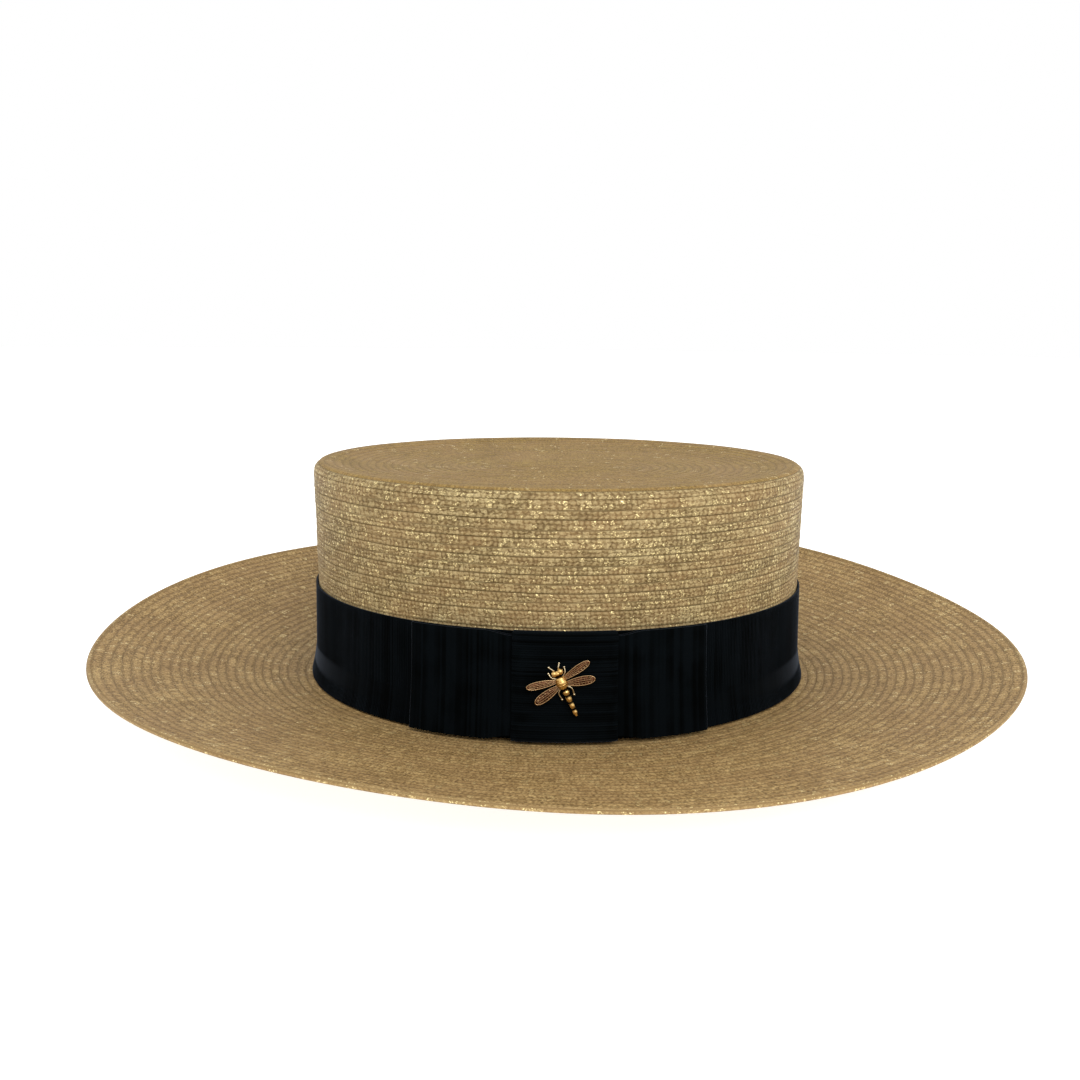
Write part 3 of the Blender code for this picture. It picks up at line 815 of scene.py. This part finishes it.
def put(tree, kind, inputs=None, **settings):
    """Adds a node with its settings and its inputs."""
    made = tree.nodes.new("ShaderNode" + kind)
    for name, value in settings.items():
        setattr(made, name, value)
    feed(tree, made, inputs or {})
    return made


def arch(tree, place):
    """Rises from 0 to 1 and falls back while the place goes from 0 to 1."""
    turned = put(tree, "Math", {0: place, 1: math.pi}, operation="MULTIPLY")
    return put(tree, "Math", {0: turned}, operation="SINE")


def new_finish(name):
    finish = bpy.data.materials.new(name)
    finish.use_nodes = True
    return finish, finish.node_tree, finish.node_tree.nodes["Principled BSDF"]


def plaited_straw(part, braid):
    """Plaited paper straw with a fine gold yarn: matt tan strands with painted shade between them
    and a painted highlight on their crests, with bright specks.
    Its pattern map has mm along the braid and whole braids across; place has mm both ways."""
    finish, tree, shader = new_finish("plaited_paper_straw_" + part)
    pattern = put(tree, "UVMap", uv_map="pattern")
    place = put(tree, "VectorMath", {0: pattern, 1: (1.0, braid.width / MM, 1.0)}, operation="MULTIPLY")
    parts = put(tree, "SeparateXYZ", {0: pattern})
    along, across = parts.outputs[0], parts.outputs[1]

    # The line between two rows wavers, and only the sewn lines run straight.
    line_place = put(tree, "Math", {0: across, 1: braid.line_every}, operation="DIVIDE")
    line_place = put(tree, "Math", {0: line_place}, operation="FRACT")
    inside = arch(tree, line_place)
    waver = put(tree, "TexNoise", {"Vector": place, "Scale": 0.45, "Detail": 2.0}, noise_dimensions="2D")
    waver = put(tree, "Math", {0: waver, 1: 1.8, 2: -0.9}, operation="MULTIPLY_ADD")
    waver = put(tree, "Math", {0: waver, 1: inside}, operation="MULTIPLY")
    row = put(tree, "Math", {0: across, 1: braid.rows, 2: waver}, operation="MULTIPLY_ADD")
    row_number = put(tree, "Math", {0: row}, operation="FLOOR")
    row_place = put(tree, "Math", {0: row}, operation="FRACT")
    odd = put(tree, "Math", {0: row_number, 1: 2.0}, operation="MODULO")
    lean = put(tree, "Math", {0: odd, 1: 0.44, 2: -0.22}, operation="MULTIPLY_ADD")
    slant = put(tree, "Math", {0: row_place, 1: lean}, operation="MULTIPLY")
    drift = put(tree, "TexNoise", {"Vector": place, "Scale": 0.03, "Detail": 3.0}, noise_dimensions="2D")
    braid_number = put(tree, "Math", {0: across}, operation="FLOOR")
    start = put(tree, "TexWhiteNoise", {"W": braid_number}, noise_dimensions="1D")
    strand = put(tree, "Math", {0: along, 1: STRAND_STEP}, operation="DIVIDE")
    strand = put(tree, "Math", {0: start, 1: 2.0, 2: strand}, operation="MULTIPLY_ADD")
    strand = put(tree, "Math", {0: strand, 1: slant}, operation="ADD")
    strand = put(tree, "Math", {0: drift, 1: 5.0, 2: strand}, operation="MULTIPLY_ADD")
    strand_number = put(tree, "Math", {0: strand}, operation="FLOOR")
    strand_place = put(tree, "Math", {0: strand}, operation="FRACT")
    cell = put(tree, "CombineXYZ", {0: strand_number, 1: row_number})
    chance = put(tree, "TexWhiteNoise", {"Vector": cell}, noise_dimensions="2D")
    chances = put(tree, "SeparateColor", {0: chance.outputs["Color"]})

    # Each strand stands up as a round cushion where it comes over its neighbours, and the pits
    # are where four of them meet.
    bow_along = arch(tree, strand_place)
    bow_across = arch(tree, row_place)
    cushion = put(tree, "Math", {0: bow_along, 1: bow_across}, operation="MULTIPLY")
    bridge = put(tree, "Math", {0: bow_along, 1: bow_across}, operation="ADD")
    cushion = put(tree, "Math", {0: cushion, 1: -0.3}, operation="MULTIPLY")
    cushion = put(tree, "Math", {0: bridge, 1: 0.65, 2: cushion}, operation="MULTIPLY_ADD")

    # Fibres of the twisted paper, drawn about 0.6 mm wide so that they show, and a slow change of
    # tone and hue.
    fibre_stretch = put(tree, "VectorMath", {0: place, 1: (1.5, 1.6, 1.0)}, operation="MULTIPLY")
    fibres = put(tree, "TexNoise", {"Vector": fibre_stretch, "Scale": 1.0, "Detail": 3.0},
                 noise_dimensions="2D")
    patches = put(tree, "TexNoise", {"Vector": place, "Scale": 0.05, "Detail": 3.0}, noise_dimensions="2D")
    tone = put(tree, "Math", {0: chances.outputs[0], 1: 0.7 * braid.relief, 2: -0.4 - 0.35 * braid.relief},
               operation="MULTIPLY_ADD")
    tone = put(tree, "Math", {0: fibres, 1: 1.4, 2: tone}, operation="MULTIPLY_ADD")
    tone = put(tree, "Math", {0: patches, 1: 0.4, 2: tone}, operation="MULTIPLY_ADD")
    ramp = put(tree, "ValToRGB", {0: tone})
    ramp.color_ramp.elements[0].position = 0.18
    ramp.color_ramp.elements[0].color = colour(braid.dark)
    ramp.color_ramp.elements[1].position = 0.85
    ramp.color_ramp.elements[1].color = colour(braid.light)
    ramp.color_ramp.elements.new(0.5).color = colour(braid.middling)
    hues = put(tree, "SeparateColor", {0: patches.outputs["Color"]})
    rosy = put(tree, "MapRange", {0: hues.outputs[1], 1: 0.35, 2: 0.65, 3: 0.0, 4: 0.5})
    straw = put(tree, "Mix", {"Factor": rosy, 6: ramp, 7: colour(ROSY_STRAW)}, data_type="RGBA")
    # Painted shade: the straw is darkened in the pits where four strands meet, by a random amount.
    depth = put(tree, "Math", {0: 1.0, 1: cushion}, operation="SUBTRACT")
    depth = put(tree, "Math", {0: depth, 1: 1.8}, operation="POWER")
    pull = put(tree, "MapRange", {0: chances.outputs[2], 1: 0.0, 2: 1.0, 3: 0.3, 4: 1.1})
    depth = put(tree, "Math", {0: depth, 1: pull}, operation="MULTIPLY")

    # The strands come in groups; the narrow gap between two groups gets painted shade too.
    group = put(tree, "Math", {0: strand, 1: STRANDS_A_GROUP}, operation="DIVIDE")
    group = put(tree, "Math", {0: group}, operation="FRACT")
    group = put(tree, "Math", {0: group, 1: 0.5}, operation="SUBTRACT")
    group = put(tree, "Math", {0: group}, operation="ABSOLUTE")
    gap_shade = put(tree, "MapRange", {0: group, 1: 0.43, 2: 0.5, 3: 0.0, 4: 0.25})
    depth = put(tree, "Math", {0: depth, 1: gap_shade}, operation="ADD", use_clamp=True)
    depth = put(tree, "Math", {0: depth, 1: braid.relief}, operation="MULTIPLY")
    # Painted shade along the line between two rows, patchy with the fibres.
    hollow = put(tree, "Math", {0: bow_across, 1: 3.0}, operation="POWER")
    hollow = put(tree, "Math", {0: 1.0, 1: hollow}, operation="SUBTRACT")
    hollow = put(tree, "Math", {0: hollow, 1: braid.hollows}, operation="MULTIPLY")
    uneven = put(tree, "MapRange", {0: fibres, 1: 0.35, 2: 0.65, 3: 1.5, 4: 0.5})
    hollow = put(tree, "Math", {0: hollow, 1: uneven}, operation="MULTIPLY")
    depth = put(tree, "Math", {0: depth, 1: hollow}, operation="ADD", use_clamp=True)
    # The painted shade mixes the straw towards a dark brown.
    pit_shade = colour(PAINTED_PIT_SHADE)
    straw = put(tree, "Mix", {"Factor": depth, 6: straw.outputs[2], 7: pit_shade}, data_type="RGBA")
    # Painted highlight: the tops of the cushions are lightened towards the lightest straw.
    crest = put(tree, "MapRange", {0: cushion, 1: 0.75, 2: 1.0, 3: 0.0, 4: 0.6 * braid.relief})
    light = colour(braid.light)
    straw = put(tree, "Mix", {"Factor": crest, 6: straw.outputs[2], 7: light}, data_type="RGBA")

    # The gold yarn shows as short bright specks on the strands that carry it.
    carries = put(tree, "Math", {0: chances.outputs[1], 1: 1 - braid.glints}, operation="GREATER_THAN")
    speck_grid = put(tree, "VectorMath", {0: place, 1: (1.8, 2.0, 1.0)}, operation="MULTIPLY")
    speck = put(tree, "TexNoise", {"Vector": speck_grid, "Scale": 1.0, "Detail": 1.0}, noise_dimensions="2D")
    bright = put(tree, "MapRange", {0: speck, 1: 0.55, 2: 0.65, 3: 0.0, 4: 1.0})
    on_crest = put(tree, "MapRange", {0: cushion, 1: 0.5, 2: 0.85, 3: 0.0, 4: 1.0})
    gold = put(tree, "Math", {0: bright, 1: on_crest}, operation="MULTIPLY")
    gold = put(tree, "Math", {0: gold, 1: carries}, operation="MULTIPLY")
    straw = put(tree, "Mix", {"Factor": gold, 6: straw.outputs[2], 7: colour(GOLD_YARN)}, data_type="RGBA")

    # A line of thread, sewn in short stitches just inside the free edge at each sewn line.
    from_line = put(tree, "Math", {0: line_place, 1: THREAD_PLACE / braid.line_every}, operation="SUBTRACT")
    from_line = put(tree, "Math", {0: from_line}, operation="ABSOLUTE")
    on_line = put(tree, "Math", {0: from_line, 1: THREAD_HALF / braid.line_every}, operation="LESS_THAN")
    stitch = put(tree, "Math", {0: along, 1: STITCH}, operation="DIVIDE")
    stitch = put(tree, "Math", {0: stitch}, operation="FRACT")
    stitch = put(tree, "Math", {0: stitch, 1: STITCH_SEEN}, operation="LESS_THAN")
    thread = put(tree, "Math", {0: on_line, 1: stitch}, operation="MULTIPLY")
    thread = put(tree, "Math", {0: thread, 1: braid.stitching}, operation="MULTIPLY")
    straw = put(tree, "Mix", {"Factor": thread, 6: straw.outputs[2], 7: light}, data_type="RGBA")

    height = put(tree, "Math", {0: fibres, 1: 0.35, 2: cushion}, operation="MULTIPLY_ADD")
    height = put(tree, "Math", {0: thread, 1: 0.4, 2: height}, operation="MULTIPLY_ADD")
    bump = put(tree, "Bump", {"Height": height, "Strength": braid.relief, "Distance": STRAND_BUMP})
    rough = put(tree, "MapRange", {0: gold, 1: 0.0, 2: 1.0, 3: 0.65, 4: 0.3})
    metal = put(tree, "Math", {0: gold, 1: 0.8}, operation="MULTIPLY")
    feed(tree, shader, {"Base Color": straw.outputs[2], "Roughness": rough, "Metallic": metal,
                        "Normal": bump, "Specular IOR Level": 0.25})
    return finish


def ribbed_ribbon():
    """Ribbed rayon ribbon: matt blue-black, each rib a little lighter or darker, fine warp over the ribs."""
    finish, tree, shader = new_finish("ribbed_rayon_ribbon")
    place = put(tree, "UVMap", uv_map="pattern")
    parts = put(tree, "SeparateXYZ", {0: place})
    rib = put(tree, "Math", {0: parts.outputs[0], 1: RIB / MM}, operation="DIVIDE")
    rib = put(tree, "Math", {0: rib}, operation="FLOOR")
    chance = put(tree, "TexWhiteNoise", {"W": rib}, noise_dimensions="1D")
    patches = put(tree, "TexNoise", {"Vector": place, "Scale": 0.08, "Detail": 2.0}, noise_dimensions="2D")
    tone = put(tree, "Math", {0: chance, 1: 0.6, 2: patches}, operation="MULTIPLY_ADD")
    ramp = put(tree, "ValToRGB", {0: tone})
    ramp.color_ramp.elements[0].position = 0.4
    ramp.color_ramp.elements[0].color = colour("#000101")
    ramp.color_ramp.elements[1].position = 1.0
    ramp.color_ramp.elements[1].color = colour("#060a0d")
    warp_grid = put(tree, "VectorMath", {0: place, 1: (0.6, 5.0, 1.0)}, operation="MULTIPLY")
    warp = put(tree, "TexNoise", {"Vector": warp_grid, "Scale": 1.0, "Detail": 2.0}, noise_dimensions="2D")
    bump = put(tree, "Bump", {"Height": warp, "Strength": 0.5, "Distance": WARP_BUMP})
    feed(tree, shader, {"Base Color": ramp, "Normal": bump, "Roughness": 0.7, "Specular IOR Level": 0.02,
                        "Sheen Weight": 0.26, "Sheen Roughness": 0.3, "Sheen Tint": colour("#c4d6f2")})
    return finish


def antiqued_brass(name, crest, patina):
    """Cast brass, antiqued and rubbed: bright warm gold on the crests, brown patina in the hollows."""
    finish, tree, shader = new_finish(name)
    hollow = put(tree, "Attribute", attribute_name="hollow")
    place = put(tree, "TexCoord")
    stain = put(tree, "TexNoise", {"Vector": place.outputs["Object"], "Scale": 900.0, "Detail": 3.0})
    dark = put(tree, "MapRange", {0: stain, 1: 0.52, 2: 0.75, 3: 0.0, 4: 0.45})
    dark = put(tree, "Math", {0: hollow.outputs["Fac"], 1: dark}, operation="ADD", use_clamp=True)
    metal = put(tree, "Mix", {"Factor": dark, 6: colour(crest), 7: colour(patina)}, data_type="RGBA")
    rough = put(tree, "MapRange", {0: dark, 1: 0.0, 2: 1.0, 3: 0.24, 4: 0.6})
    bump = put(tree, "Bump", {"Height": stain, "Strength": 0.5, "Distance": CASTING_BUMP})
    feed(tree, shader, {"Base Color": metal.outputs[2], "Roughness": rough, "Normal": bump, "Metallic": 1.0})
    return finish


def wing_bronze():
    """Thin cast wing skins, antiqued to a dark reddish bronze with duller stains."""
    finish, tree, shader = new_finish("antiqued_bronze")
    place = put(tree, "TexCoord")
    stain = put(tree, "TexNoise", {"Vector": place.outputs["Object"], "Scale": 700.0, "Detail": 3.0})
    share = put(tree, "MapRange", {0: stain, 1: 0.35, 2: 0.65, 3: 0.0, 4: 1.0})
    metal = put(tree, "Mix", {"Factor": share, 6: colour("#754836"), 7: colour("#2e1610")}, data_type="RGBA")
    bump = put(tree, "Bump", {"Height": stain, "Strength": 0.6, "Distance": SKIN_BUMP})
    feed(tree, shader, {"Base Color": metal.outputs[2], "Normal": bump, "Metallic": 1.0, "Roughness": 0.45})
    return finish


# Studio

def make_floor():
    """A wide plain floor that runs out to the white of the studio."""
    mesh = bpy.data.meshes.new("floor")
    disc = bmesh.new()
    bmesh.ops.create_circle(disc, cap_ends=True, segments=96, radius=FLOOR_RADIUS)
    disc.to_mesh(mesh)
    disc.free()
    floor = new_object("floor", mesh)
    # A lit table of white acrylic: it glows a little itself, so shadows on it are pale.
    finish, tree, shader = new_finish("lit_white_acrylic")
    feed(tree, shader, {"Base Color": colour("#d0d0cf"), "Roughness": 0.9,
                        "Emission Color": colour("#ffffff"), "Emission Strength": FLOOR_GLOW})
    mesh.materials.append(finish)


def light_studio():
    world = bpy.data.worlds.new("white_studio")
    world.use_nodes = True
    feed(world.node_tree, world.node_tree.nodes["Background"], {"Color": (1, 1, 1, 1), "Strength": 1.0})
    bpy.context.scene.world = world
    lamp = bpy.data.lights.new("front_softbox", "AREA")
    lamp.shape = "RECTANGLE"
    lamp.size, lamp.size_y = SOFTBOX_SIZE
    lamp.energy = SOFTBOX_POWER
    softbox = new_object("front_softbox", lamp)
    softbox.location = SOFTBOX_PLACE
    aim = Vector(SOFTBOX_AIM) - Vector(SOFTBOX_PLACE)
    softbox.rotation_euler = aim.to_track_quat("-Z", "Y").to_euler()
    bpy.context.scene.view_settings.view_transform = "Standard"


def set_camera():
    data = bpy.data.cameras.new("camera")
    data.sensor_width = SENSOR
    data.lens = FOCAL_PIXELS * SENSOR / PICTURE
    data.shift_x = (PICTURE / 2 - MIDDLE_PIXEL) / PICTURE
    data.clip_start = 0.01
    camera = new_object("camera", data)
    level = Matrix.Rotation(math.pi / 2 - CAMERA_DOWN, 4, "X")
    camera.matrix_world = Matrix.Translation(CAMERA_PLACE) @ level @ Matrix.Rotation(CAMERA_ROLL, 4, "Z")
    bpy.context.scene.camera = camera


set_camera()
light_studio()
make_floor()
straws = {part: plaited_straw(part, braid) for part, braid in STRAWS.items()}
make_crown(straws["side"], straws["tip"])
make_brim(straws["brim"], straws["edge"])
ribbon_finish = ribbed_ribbon()
make_band(ribbon_finish)
make_bow_loops(ribbon_finish)
make_bow_knot(ribbon_finish)
pin_frame = pin_place()
dragonfly_body(pin_frame, antiqued_brass("antiqued_brass", "#ecc27a", "#1f1206"))
dragonfly_limbs(pin_frame, antiqued_brass("rubbed_pale_brass", "#e0d0ac", "#5f4526"))
dragonfly_wings(pin_frame, antiqued_brass("browned_brass", "#bd9c72", "#3d2917"), wing_bronze())
